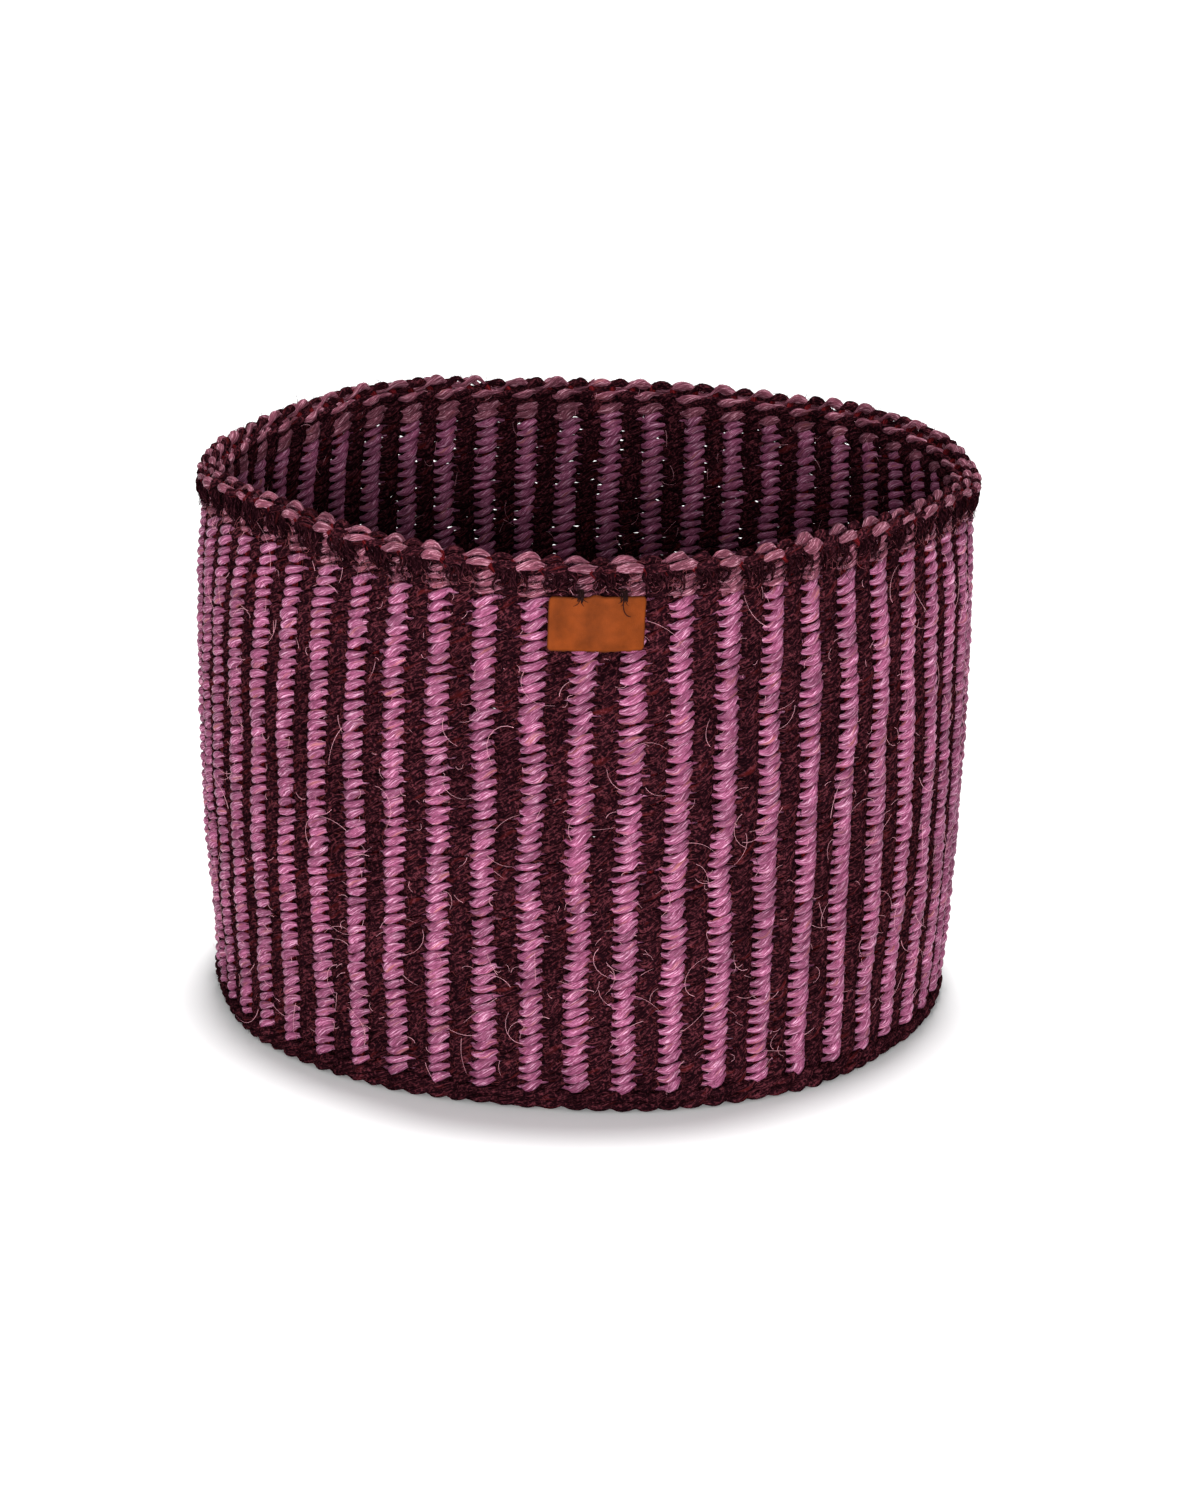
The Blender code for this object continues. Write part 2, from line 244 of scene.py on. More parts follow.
stored = add(
    cord_tree,
    "GeometryNodeStoreNamedAttribute",
    {"Geometry": swept, "Name": "cord", "Value": fibre_place},
    data_type="FLOAT_VECTOR",
    domain="POINT",
)
smooth = add(cord_tree, "GeometryNodeSetShadeSmooth", {"Geometry": stored, "Shade Smooth": True})
painted = add(cord_tree, "GeometryNodeSetMaterial", {"Geometry": smooth, "Material": given["Material"]})
add(cord_tree, "NodeGroupOutput", (painted,))


def dyed_sisal(name, colour, shade, painted_highlight, fleck, shine=0.5, speckle_and_glints=0.0):
    """Hand-spun sisal, dyed in the yarn: long fibres that lie in a slow twist, streaked
    where the dye took unevenly, with two plies that leave a shallow groove between them. Most
    of their shine is painted: crests of the fibre bump take a painted highlight colour, its
    hollows a painted shade colour, and lighter specks are partly painted glints."""
    fibre_width, fibre_length = 0.3 * mm, 3.4 * mm
    bundle_width, bundle_length = 1.3 * mm, 8 * mm
    stitch_length, patch_size, dot_size = 11 * mm, 38 * mm, 0.9 * mm
    groove_depth, fibre_relief = 0.4 * mm, 0.25 * mm
    material = bpy.data.materials.new(name)
    material.use_nodes = True
    tree = material.node_tree
    shader = tree.nodes["Principled BSDF"]
    cord = add(tree, "ShaderNodeAttribute", attribute_name="cord").outputs["Vector"]
    size = (1 / fibre_width, 1 / fibre_width, 1 / fibre_length)
    fibre_spot = add(tree, VECTOR, (cord, size), operation="MULTIPLY")
    fibres = add(tree, NOISE, {"Vector": fibre_spot, "Scale": 1.0, "Detail": 2.0, "Roughness": 0.62})
    size = (1 / bundle_width, 1 / bundle_width, 1 / bundle_length)
    bundle_spot = add(tree, VECTOR, (cord, size), operation="MULTIPLY")
    bundles = add(tree, NOISE, {"Vector": bundle_spot, "Scale": 1.0, "Detail": 1.0})
    parts = add(tree, "ShaderNodeSeparateXYZ", (cord,)).outputs
    stitch = add(
        tree, NOISE, {"W": parts["Z"], "Scale": 1 / stitch_length, "Detail": 0.0}, noise_dimensions="1D"
    )
    place = add(tree, "ShaderNodeTexCoord").outputs["Object"]
    patch = add(tree, NOISE, {"Vector": place, "Scale": 1 / patch_size, "Detail": 2.0})
    # Partly random fibre tone, partly painted shade: where the fibre bump is low, the colour falls to the
    # shade colour, darkening the hollows between fibres.
    light = add(tree, RANGE, {"Value": fibres, "From Min": 0.38, "From Max": 0.60})
    lit = add(tree, MIX, {0: light, 6: linear(shade), 7: linear(colour)}, data_type="RGBA")
    # Painted highlight: where the fibre bump is high, the colour is lifted to the painted highlight colour,
    # as glints along the fibre crests.
    glint = add(tree, RANGE, {"Value": fibres, "From Min": 0.56, "From Max": 0.70, "To Max": 0.9})
    shone = add(tree, MIX, {0: glint, 6: lit.outputs[2], 7: linear(painted_highlight)}, data_type="RGBA")
    stain = add(tree, RANGE, {"Value": bundles, "From Min": 0.62, "From Max": 0.76, "To Max": 0.55})
    stained = add(tree, MIX, {0: stain, 6: shone.outputs[2], 7: linear(fleck)}, data_type="RGBA")
    # Specks of the painted highlight colour over the cord at random: partly lighter fibres, partly painted
    # glints.
    dots_and_glints = add(tree, NOISE, {"Vector": place, "Scale": 1 / dot_size, "Detail": 2.0, "Roughness": 0.7})
    dots_and_glints = add(tree, RANGE, {"Value": dots_and_glints, "From Min": 0.53, "From Max": 0.68, "To Max": speckle_and_glints})
    speckled_and_glinting = add(tree, MIX, {0: dots_and_glints, 6: stained.outputs[2], 7: linear(painted_highlight)}, data_type="RGBA")
    tone = add(tree, MATH, (stitch, patch), operation="ADD")
    tone = add(
        tree, RANGE, {"Value": tone, "From Min": 0.7, "From Max": 1.3, "To Min": 0.72, "To Max": 1.22}
    )
    toned = add(
        tree, MIX, {0: 1.0, 6: speckled_and_glinting.outputs[2], 7: tone}, data_type="RGBA", blend_type="MULTIPLY"
    )
    tree.links.new(toned.outputs[2], shader.inputs["Base Color"])
    flat_side = add(tree, VECTOR, (cord, (1.0, 1.0, 0.0)), operation="MULTIPLY")
    ply_side = add(tree, VECTOR, (flat_side,), operation="NORMALIZE")
    ply = add(tree, "ShaderNodeSeparateXYZ", (ply_side,)).outputs["X"]
    ply = add(tree, MATH, (ply,), operation="ABSOLUTE")
    ply = add(tree, MATH, (ply, 0.6), operation="POWER")
    groove = add(tree, BUMP, {"Strength": 0.5, "Distance": groove_depth, "Height": ply})
    strands = add(
        tree, BUMP, {"Strength": 0.8, "Distance": fibre_relief, "Height": fibres, "Normal": groove}
    )
    tree.links.new(strands.outputs[0], shader.inputs["Normal"])
    shader.inputs["Roughness"].default_value = 0.5
    shader.inputs["Specular IOR Level"].default_value = shine
    return material


# How far each cord's streaks are set off from those of the one before.
streak_offset = 0.37
lay_tree, given = new_tree(
    "cords laid on the basket",
    {
        "Paths": "Object", "Step": "Float", "Width": "Float", "Depth": "Float", "Sides": "Int",
        "Twist": "Float", "Material": "Material",
    },
    {"Mesh": "Geometry"},
)
paths = add(lay_tree, "GeometryNodeObjectInfo", {"Object": given["Paths"]})
line = add(
    lay_tree,
    "GeometryNodeResampleCurve",
    {"Curve": paths.outputs["Geometry"], "Length": given["Step"]},
    mode="LENGTH",
)
drawn = add(lay_tree, "GeometryNodeInputPosition")
drawn = add(lay_tree, "ShaderNodeSeparateXYZ", (drawn,)).outputs
angle = add(lay_tree, MATH, (drawn["X"], 1 / unrolled_radius, front_angle), operation="MULTIPLY_ADD")
placed = add(lay_tree, "GeometryNodeGroup", node_tree=place_tree)
for socket, value in (("Angle", angle.outputs[0]), ("Height", drawn["Z"]), ("Out", drawn["Y"])):
    lay_tree.links.new(value, placed.inputs[socket])
line = add(
    lay_tree, "GeometryNodeSetPosition", {"Geometry": line, "Position": placed.outputs["Position"]}
)
number = add(lay_tree, "GeometryNodeCurveOfPoint")
so_far = add(lay_tree, "GeometryNodeSplineParameter").outputs["Length"]
along = add(lay_tree, MATH, (number.outputs["Curve Index"], streak_offset, so_far), operation="MULTIPLY_ADD")
thickness = add(lay_tree, "GeometryNodeInputRadius")
cord = add(lay_tree, "GeometryNodeGroup", node_tree=cord_tree)
for socket, value in (("Curve", line), ("Along", along), ("Scale", thickness)):
    lay_tree.links.new(value.outputs[0], cord.inputs[socket])
for socket in ("Width", "Depth", "Sides", "Twist", "Material"):
    lay_tree.links.new(given[socket], cord.inputs[socket])
realized = add(lay_tree, "GeometryNodeRealizeInstances", {"Geometry": cord})
add(lay_tree, "NodeGroupOutput", (realized,))


def lay(name, paths, step, width, depth, sides, material, twist=cord_twist, body="basket"):
    """Lays cords along paths of (sideways, out, height, thickness share), as if the wall were unrolled."""
    curve = bpy.data.curves.new(name + "_paths", "CURVE")
    curve.dimensions = "3D"
    curve.resolution_u = 6
    for path in paths:
        spline = curve.splines.new("BEZIER")
        spline.bezier_points.add(len(path) - 1)
        for point, (sideways, out, height, share) in zip(spline.bezier_points, path):
            point.co = (sideways, out, height)
            point.radius = share
            point.handle_left_type = point.handle_right_type = "AUTO"
    holder = bpy.data.objects.new(name + "_paths", curve)
    bpy.context.scene.collection.objects.link(holder)
    piece = grow(name, lay_tree, {
        "Paths": holder, "Step": step, "Width": width, "Depth": depth, "Sides": sides,
        "Twist": twist, "Material": material,
    }, body)
    bpy.data.objects.remove(holder)
    return piece


# Each cord's colours: its dye, a painted shade for the hollows between fibres, a painted highlight for their
# crests, and a stain; then its specular level and how many specks of the highlight colour, partly painted
# glints, it takes.
red_sisal = dyed_sisal("sisal cord, dyed dark red", "#501016", "#28080C", "#70201F", "#501416", 0.0)
dark_sisal = dyed_sisal("sisal cord, dyed burgundy", "#1C080D", "#0D0407", "#582830", "#4C1414", 0.0, 0.8)
end_sisal = dyed_sisal("frayed ends of burgundy sisal", "#1A070B", "#0A0305", "#48222A", "#3C1012", 0.0, 0.3)
pitch = 2 * math.pi * unrolled_radius / upright_count
warp_width = 2.1 * mm
base_warp_height = 3.35 * mm
bend_inset = 4 * mm
warp_middle = -2.85 * mm
# How far sideways, in warps, the folded ends of two neighbours lie.
tail_shares = (0.72, 0.27)
# Radii at which cords start, and which of them each of eight neighbours starts at.
branch_radii = (0.3 * mm, 5 * mm, 28 * mm, 54 * mm)
branch_order = (0, 3, 2, 3, 1, 3, 2, 3)
base_route_points = 4
# Each folded end frays into plies: how far they spread, end, bend and stand out, in mm.
tail_plies = 9
tail_spread = 2.7
tail_heights = (149.6, 154.2)
tail_bend_height = 154.0
tail_stands = (-0.4, 0.7)
first_bend_reach = 1.1
last_bend_reach = 1.8
ply_width = 0.75 * mm
chance = random.Random(4)
paths = []
tails = []
for number in range(upright_count):
    side = number * pitch
    start = branch_radii[branch_order[number % len(branch_order)]]
    over = tail_shares[number % len(tail_shares)] * pitch
    steps = [step / (base_route_points - 1) for step in range(base_route_points)]
    flat = [start + (base_edge - bend_inset - start) * step for step in steps]
    path = [(side, radius - base_edge, base_warp_height, 1.0) for radius in flat]
    path += [(side, -3.3 * mm, 5.0 * mm, 1.0)]
    path += [(side, warp_middle, height * mm, 1.0) for height in (9, 40, 75, 110, 140, 150)]
    path += [
        (side, -3.3 * mm, 154.9 * mm, 1.0),
        (side, -3.0 * mm, 156.7 * mm, 1.0),
        (side + 0.1 * over, -1.2 * mm, 157.4 * mm, 1.0),
        (side + 0.3 * over, 0.4 * mm, 156.6 * mm, 0.9),
        (side + 0.6 * over, 0.5 * mm, 154.8 * mm, 0.5),
    ]
    paths.append(path)
    for ply in range(tail_plies):
        spread = over + chance.uniform(-tail_spread, tail_spread) * mm
        end = chance.uniform(*tail_heights) * mm
        first_bend = chance.uniform(-first_bend_reach, first_bend_reach) * mm
        last_bend = chance.uniform(-last_bend_reach, last_bend_reach) * mm
        stand = chance.uniform(*tail_stands) * mm
        tails.append([
            (side + 0.4 * spread, 0.2 * mm, 156.8 * mm, 0.8),
            (side + 0.8 * spread, 1.0 * mm, 156.0 * mm, 1.0),
            (side + spread + first_bend, 0.9 * mm + stand, 154.8 * mm, 1.0),
            (side + spread + last_bend, 0.5 * mm + stand, 0.5 * (end + tail_bend_height * mm), 0.9),
            (side + spread + 0.5 * first_bend + last_bend, -0.9 * mm, end, 0.5),
        ])
warp_step = 2.3 * mm
tail_step = 0.9 * mm
warps = lay("warp_cords", paths, warp_step, warp_width, warp_width, 7, red_sisal)
warp_tails = lay("warp_tails", tails, tail_step, ply_width, ply_width, 5, end_sisal, tail_twist)
for piece in (warps, warp_tails):
    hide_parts("warps")

# Base weft
# The same sisal, all dark here: a flat spiral that starts at the crossing of the first warps. One
# side of it is the floor of the basket and the other is what shows when the basket is turned over.
crest_flatness = 0.3
# How often a strand wanders from its line in a stitch, how far it then goes up and round, in
# radians, and how much its slant and its thickness change with that.
wander_rate = 1.7
wander_height = 1 * mm
wander_angle = 0.012
wander_slant = 2.0
wander_thickness = 0.9
strand_inputs = {
    "Points": "Int", "Start Turn": "Float", "Uprights": "Float", "Points per Upright": "Float",
    "Height": "Float", "Height per Turn": "Float", "Out": "Float", "Out per Turn": "Float",
    "Crest Angle": "Float", "Swing": "Float", "Slant": "Float", "Width": "Float", "Depth": "Float",
    "Pinch": "Float", "Tuck": "Float", "Shift": "Float", "Wander": "Float", "Sides": "Int",
    "Twist": "Float", "Material": "Material",
}
strand_tree, given = new_tree("twined strand", strand_inputs, {"Mesh": "Geometry"})
index = add(strand_tree, "GeometryNodeInputIndex")
per_turn = add(strand_tree, MATH, (given["Uprights"], given["Points per Upright"]), operation="MULTIPLY")
turns = add(strand_tree, MATH, (index, per_turn), operation="DIVIDE")
turns = add(strand_tree, MATH, (turns, given["Start Turn"]), operation="ADD")
angle = add(strand_tree, MATH, (turns, 2 * math.pi, -front_angle), operation="MULTIPLY_ADD")
from_front = add(strand_tree, MATH, (angle, front_angle), operation="SUBTRACT")
stitches = add(strand_tree, MATH, (from_front, given["Uprights"]), operation="MULTIPLY")
stitches = add(strand_tree, MATH, (stitches, 1 / (4 * math.pi)), operation="MULTIPLY")
stitches = add(strand_tree, MATH, (stitches, given["Shift"]), operation="SUBTRACT")
phase = add(strand_tree, MATH, (stitches, 2 * math.pi), operation="MULTIPLY")
over = add(strand_tree, MATH, (phase,), operation="COSINE")
slope = add(strand_tree, MATH, (phase,), operation="SINE")
square = add(strand_tree, MATH, (over, over), operation="MULTIPLY")
flat_top = add(strand_tree, MATH, (square, -crest_flatness, 1 + crest_flatness), operation="MULTIPLY_ADD")
swing = add(strand_tree, MATH, (over, flat_top), operation="MULTIPLY")
swing = add(strand_tree, MATH, (swing, given["Swing"]), operation="MULTIPLY")
wander = add(
    strand_tree, NOISE, {"W": stitches, "Scale": wander_rate, "Detail": 1.0}, noise_dimensions="1D"
)
wander = add(strand_tree, VECTOR, (wander.outputs["Color"], (0.5, 0.5, 0.5)), operation="SUBTRACT")
wander = add(strand_tree, VECTOR, {0: wander, "Scale": given["Wander"]}, operation="SCALE")
wander = add(strand_tree, "ShaderNodeSeparateXYZ", (wander,)).outputs
tilt = add(strand_tree, MATH, (wander["Z"], wander_slant, 1.0), operation="MULTIPLY_ADD")
slant = add(strand_tree, MATH, (slope, tilt), operation="MULTIPLY")
slant = add(strand_tree, MATH, (slant, given["Slant"]), operation="MULTIPLY")
crest_out = add(strand_tree, MATH, (given["Crest Angle"],), operation="COSINE")
crest_up = add(strand_tree, MATH, (given["Crest Angle"],), operation="SINE")
out = add(strand_tree, MATH, (turns, given["Out per Turn"], given["Out"]), operation="MULTIPLY_ADD")
out = add(strand_tree, MATH, (swing, crest_out, out), operation="MULTIPLY_ADD")
inward = add(strand_tree, MATH, (slant, crest_up), operation="MULTIPLY")
out = add(strand_tree, MATH, (out, inward), operation="SUBTRACT")
height = add(
    strand_tree, MATH, (turns, given["Height per Turn"], given["Height"]), operation="MULTIPLY_ADD"
)
height = add(strand_tree, MATH, (swing, crest_up, height), operation="MULTIPLY_ADD")
height = add(strand_tree, MATH, (slant, crest_out, height), operation="MULTIPLY_ADD")
height = add(strand_tree, MATH, (wander["X"], wander_height, height), operation="MULTIPLY_ADD")
moved = add(strand_tree, MATH, (wander["Y"], wander_angle, angle), operation="MULTIPLY_ADD")
placed = add(strand_tree, "GeometryNodeGroup", node_tree=place_tree)
for socket, value in (("Angle", moved), ("Height", height), ("Out", out)):
    strand_tree.links.new(value.outputs[0], placed.inputs[socket])
crest = add(strand_tree, VECTOR, {0: placed.outputs["Outward"], "Scale": crest_out}, operation="SCALE")
crest_rise = add(strand_tree, "ShaderNodeCombineXYZ", (0.0, 0.0, crest_up))
crest = add(strand_tree, VECTOR, (crest, crest_rise), operation="ADD")
fullness = add(strand_tree, MATH, (1.0, given["Pinch"]), operation="SUBTRACT")
rounded = add(strand_tree, MATH, (2.0, square), operation="SUBTRACT")
rounded = add(strand_tree, MATH, (rounded, square), operation="MULTIPLY")
scale = add(strand_tree, MATH, (rounded, fullness, given["Pinch"]), operation="MULTIPLY_ADD")
uneven = add(strand_tree, MATH, (wander["Z"], wander_thickness, 1.0), operation="MULTIPLY_ADD")
scale = add(strand_tree, MATH, (scale, uneven), operation="MULTIPLY")
tucked = add(strand_tree, MATH, (over, -1.0), operation="MULTIPLY", use_clamp=True)
tucked = add(strand_tree, MATH, (tucked, given["Tuck"]), operation="MULTIPLY")
tucked = add(strand_tree, MATH, (1.0, tucked), operation="SUBTRACT")
scale = add(strand_tree, MATH, (scale, tucked), operation="MULTIPLY")
along = add(strand_tree, MATH, (angle, unrolled_radius), operation="MULTIPLY")
line = add(strand_tree, "GeometryNodeCurvePrimitiveLine")
line = add(strand_tree, "GeometryNodeResampleCurve", {"Curve": line, "Count": given["Points"]})
line = add(
    strand_tree, "GeometryNodeSetPosition", {"Geometry": line, "Position": placed.outputs["Position"]}
)
line = add(strand_tree, "GeometryNodeSetCurveNormal", {"Curve": line, "Normal": crest}, mode="FREE")
cord = add(strand_tree, "GeometryNodeGroup", node_tree=cord_tree)
for socket, value in (("Curve", line), ("Along", along), ("Scale", scale)):
    strand_tree.links.new(value.outputs[0], cord.inputs[socket])
for socket in ("Width", "Depth", "Sides", "Twist", "Material"):
    strand_tree.links.new(given[socket], cord.inputs[socket])
realized = add(strand_tree, "GeometryNodeRealizeInstances", {"Geometry": cord})
add(strand_tree, "NodeGroupOutput", (realized,))


def twine(name, strands, material, node, slot, **shared):
    """Twines one strand and keeps it as a piece that stands for a node."""
    values = {
        "Start Turn": 0.0, "Uprights": float(upright_count), "Points per Upright": 6.0,
        "Height per Turn": 0.0, "Out per Turn": 0.0, "Crest Angle": 0.0, "Pinch": 0.6,
        "Tuck": 0.0, "Wander": 1.0, "Sides": 8, "Twist": cord_twist, "Material": material,
        **shared, **strands,
    }
    turns = values.pop("Turns")
    values["Points"] = int(turns * values["Uprights"] * values["Points per Upright"]) + 1
    piece = grow(name, strand_tree, values)
    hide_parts(node)
    return piece


# The warps that the spiral crosses in a turn, and the radii in mm between which it does.
base_zones = ((13.0, 2, 13), (26.0, 13, 28), (52.0, 28, 55), (104.0, 55, 107.5))
base_pitch = 2.9 * mm
base_start = 2 * mm
# The outermost zone has by far the most stitches, so each of them is drawn with fewer faces.
for number, (uprights, inner, outer) in enumerate(base_zones):
    finest = uprights == upright_count
    turns = (outer - inner) * mm / base_pitch
    for shift, face in ((0.0, "under"), (0.5, "inside")):
        twine(
            f"base_weft_{face}_{number + 1}",
            {"Turns": turns, "Start Turn": (inner * mm - base_start) / base_pitch, "Shift": shift},
            dark_sisal,
            f"base_weft_{face}",
            "sisal_dark",
            **{
                "Uprights": uprights, "Points per Upright": 4.0 if finest else 6.0,
                "Out": base_start - base_edge, "Out per Turn": base_pitch, "Height": base_warp_height,
                "Crest Angle": math.pi / 2, "Swing": 1.75 * mm, "Slant": 0.7 * mm,
                "Width": 2.9 * mm, "Depth": 1.9 * mm, "Pinch": 0.7, "Sides": 5 if finest else 6,
            },
        )

# Foot
# Two dark twined rows round the corner where the base turns up into the wall. The basket stands
# on the lower one, and the first pink stitches start just above the upper one.
foot_row_shift = 0.17
# Each row's height and place out from the wall's outside, in mm, and its lean in degrees.
foot_rows = ((1.85, -1.5, -15), (4.5, -1.0, 10))
for number, (height, out, lean) in enumerate(foot_rows):
    for shift, strand in ((0.0, "a"), (0.5, "b")):
        twine(
            f"foot_row_{number + 1}{strand}",
            {"Turns": 1.0, "Shift": shift + foot_row_shift * number},
            dark_sisal,
            "foot_row",
            "sisal_dark",
            **{
                "Height": height * mm, "Out": out * mm, "Crest Angle": math.radians(lean),
                "Swing": 0.8 * mm, "Slant": 0.5 * mm, "Width": 2.9 * mm, "Depth": 2.1 * mm,
                "Pinch": 0.8, "Wander": 0.8,
            },
        )

# Wall weft
# One twined pair, a pink strand and a dark one, that cross between all warps. At each warp one
# lies outside and the other inside, so pink and dark stitches stack up in upright stripes.
# The near-white fourth colour is the pink cord's painted highlight.
pink_sisal = dyed_sisal("sisal cord, dyed pink", "#965072", "#602842", "#CEA2B8", "#96584A", 0.15)
row_pitch = 2.86 * mm
wall_bands = 3
wall_turns = 50
wall_start_height = 5.4 * mm
weft_middle = -2.7 * mm
for number in range(wall_bands):
    band = {
        "Turns": wall_turns / wall_bands, "Start Turn": wall_turns / wall_bands * number,
        "Height": wall_start_height, "Height per Turn": row_pitch, "Slant": 1.0 * mm,
    }
    twine(f"wall_weft_pink_{number + 1}", {
        "Out": weft_middle, "Swing": 1.7 * mm, "Width": 2.85 * mm, "Depth": 2.5 * mm,
        "Pinch": 0.5, "Shift": 0.0,
    }, pink_sisal, "wall_weft_pink", "sisal_pink", **band)
    twine(f"wall_weft_dark_{number + 1}", {
        "Out": weft_middle, "Swing": 1.35 * mm, "Width": 3.15 * mm, "Depth": 1.25 * mm,
        "Pinch": 0.86, "Shift": 0.5, "Points per Upright": 5.0, "Sides": 7,
    }, dark_sisal, "wall_weft_dark", "sisal_dark", **band)

# Rim
# The last rows, whose pink cord is duller, darker and more salmon than the wall's: small tight
# stitches between the warp ends, two rows of bold stitches over the fold, and three rows down the
# inside, the middle one all dark.
rim_pink = dyed_sisal("dull salmon-pink sisal cord", "#7C4454", "#4A232E", "#BE909E", "#783E3A", 0.05)
# A row's name, its turns, its drift along the rim in stitches, how far its first strand stands
# out and its second lies back in mm, the colour of the first strand, and its sizes.
rim_rows = (
    ("tight", 3.4, 0.03, 0.15, "pink", {
        "Height": 148.7 * mm, "Height per Turn": 2.15 * mm, "Out": -2.1 * mm, "Swing": 1.4 * mm,
        "Slant": 0.6 * mm, "Width": 2.15 * mm, "Depth": 1.9 * mm, "Crest Angle": 0.0, "Pinch": 0.45,
    }),
    ("outer", 1.0, -0.10, 0.15, "pink", {
        "Height": 156.5 * mm, "Out": -0.1 * mm, "Swing": 1.1 * mm, "Slant": 0.3 * mm,
        "Width": 2.8 * mm, "Depth": 2.9 * mm, "Crest Angle": math.radians(45), "Pinch": 0.72,
        "Wander": 1.6, "Tuck": 0.3,
    }),
    ("inner", 1.0, -0.20, 0.15, "pink", {
        "Height": 157.5 * mm, "Out": -2.1 * mm, "Swing": 1.2 * mm, "Slant": 0.4 * mm,
        "Width": 2.6 * mm, "Depth": 2.6 * mm, "Crest Angle": math.radians(95), "Pinch": 0.66,
        "Wander": 1.6, "Tuck": 0.4,
    }),
    ("under", 1.0, -0.35, 0.0, "pink", {
        "Height": 155.1 * mm, "Out": -4.2 * mm, "Swing": 0.9 * mm, "Slant": 0.6 * mm,
        "Width": 2.7 * mm, "Depth": 2.0 * mm, "Crest Angle": math.pi, "Pinch": 0.45,
    }),
    ("between", 1.0, -0.45, 0.0, "dark", {
        "Height": 153.6 * mm, "Out": -3.3 * mm, "Swing": 0.6 * mm, "Slant": 0.3 * mm,
        "Width": 3.6 * mm, "Depth": 1.8 * mm, "Crest Angle": math.pi, "Pinch": 0.85,
    }),
    ("inside", 1.6, -0.47, 0.0, "pink", {
        "Height": 148.7 * mm, "Height per Turn": 2.3 * mm, "Out": -3.7 * mm, "Swing": 0.9 * mm,
        "Slant": 0.8 * mm, "Width": 3.4 * mm, "Depth": 1.9 * mm, "Crest Angle": math.pi, "Pinch": 0.7,
    }),
)
for name, turns, shift, boldness, lead, sizes in rim_rows:
    crest_angle = sizes["Crest Angle"]
    for number, (dye, forward) in enumerate(((lead, boldness * mm), ("dark", -boldness * mm))):
        place = {
            "Turns": turns, "Shift": shift + 0.5 * number,
            "Out": sizes["Out"] + forward * math.cos(crest_angle),
            "Height": sizes["Height"] + forward * math.sin(crest_angle),
        }
        twine(
            f"rim_{name}_{number + 1}",
            place,
            rim_pink if dye == "pink" else dark_sisal,
            "rim_row",
            "sisal_" + dye,
            **sizes,
        )

# Label
# A small piece of tan leather, cut by hand with a blade and rounded a little at its corners. It is
# sewn on along its top edge only, so on the real basket the part below the stitches lifts like a
# hinge; here it is laid flat on the wall as one piece.
label_width = 26 * mm
label_middle = 3.55 * mm
label_left = label_middle - label_width / 2
label_top = 149.7 * mm
label_bottom = 135.1 * mm
label_fold = 146.55 * mm
label_corner = 1.2 * mm
label_slant = 0.04
label_back = 0.45 * mm
label_front = 1.35 * mm
label_rows = 30
label_columns = 44
edge_width = 0.5 * mm
edge_drop = 0.3 * mm
cut_wobble = 0.25 * mm
# The top edge rises to a low peak between the stitches, which fades in the rows below.
peak_place = 2.6 * mm
peak_height = 0.7 * mm
peak_width = 1.5 * mm
peak_fade = 12
# The lower edge has taken on a slight wave.
wave_depth = 0.25 * mm
wave_length = 4.2 * mm
wave_start = 0.5
drape_tree, given = new_tree(
    "sheet laid on the basket", {"Sheet": "Object", "Material": "Material"}, {"Mesh": "Geometry"}
)
sheet = add(drape_tree, "GeometryNodeObjectInfo", {"Object": given["Sheet"]}).outputs["Geometry"]
drawn = add(drape_tree, "GeometryNodeInputPosition")
drawn = add(drape_tree, "ShaderNodeSeparateXYZ", (drawn,)).outputs
angle = add(drape_tree, MATH, (drawn["X"], 1 / unrolled_radius, front_angle), operation="MULTIPLY_ADD")
placed = add(drape_tree, "GeometryNodeGroup", node_tree=place_tree)
for socket, value in (("Angle", angle.outputs[0]), ("Height", drawn["Z"]), ("Out", drawn["Y"])):
    drape_tree.links.new(value, placed.inputs[socket])
sheet = add(
    drape_tree, "GeometryNodeSetPosition", {"Geometry": sheet, "Position": placed.outputs["Position"]}
)
sheet = add(drape_tree, "GeometryNodeSetShadeSmooth", {"Geometry": sheet, "Shade Smooth": True})
sheet = add(drape_tree, "GeometryNodeRealizeInstances", {"Geometry": sheet})
sheet = add(drape_tree, "GeometryNodeSetMaterial", {"Geometry": sheet, "Material": given["Material"]})
add(drape_tree, "NodeGroupOutput", (sheet,))

# Smooth leather with hardly any shine: its tan clouds a little, and shows fine pores and creases,
# and the cut edge is darker.
cloud_size = 5 * mm
pore_size = 0.45 * mm
pore_depth = 0.1 * mm
crease_size = 2 * mm
crease_depth = 0.25 * mm
leather = bpy.data.materials.new("tan vegetable-tanned leather")
leather.use_nodes = True
tree = leather.node_tree
shader = tree.nodes["Principled BSDF"]
place = add(tree, "ShaderNodeTexCoord").outputs["Object"]
cloud = add(tree, NOISE, {"Vector": place, "Scale": 1 / cloud_size, "Detail": 4.0})
cloud = add(tree, RANGE, {"Value": cloud, "From Min": 0.3, "From Max": 0.7})
tanned = add(tree, MIX, {0: cloud, 6: linear("#562405"), 7: linear("#70310C")}, data_type="RGBA")
cut_edge = add(tree, "ShaderNodeAttribute", attribute_name="edge").outputs["Fac"]
edged = add(tree, MIX, {0: cut_edge, 6: tanned.outputs[2], 7: linear("#48200C")}, data_type="RGBA")
tree.links.new(edged.outputs[2], shader.inputs["Base Color"])
pores = add(tree, "ShaderNodeTexVoronoi", {"Vector": place, "Scale": 1 / pore_size})
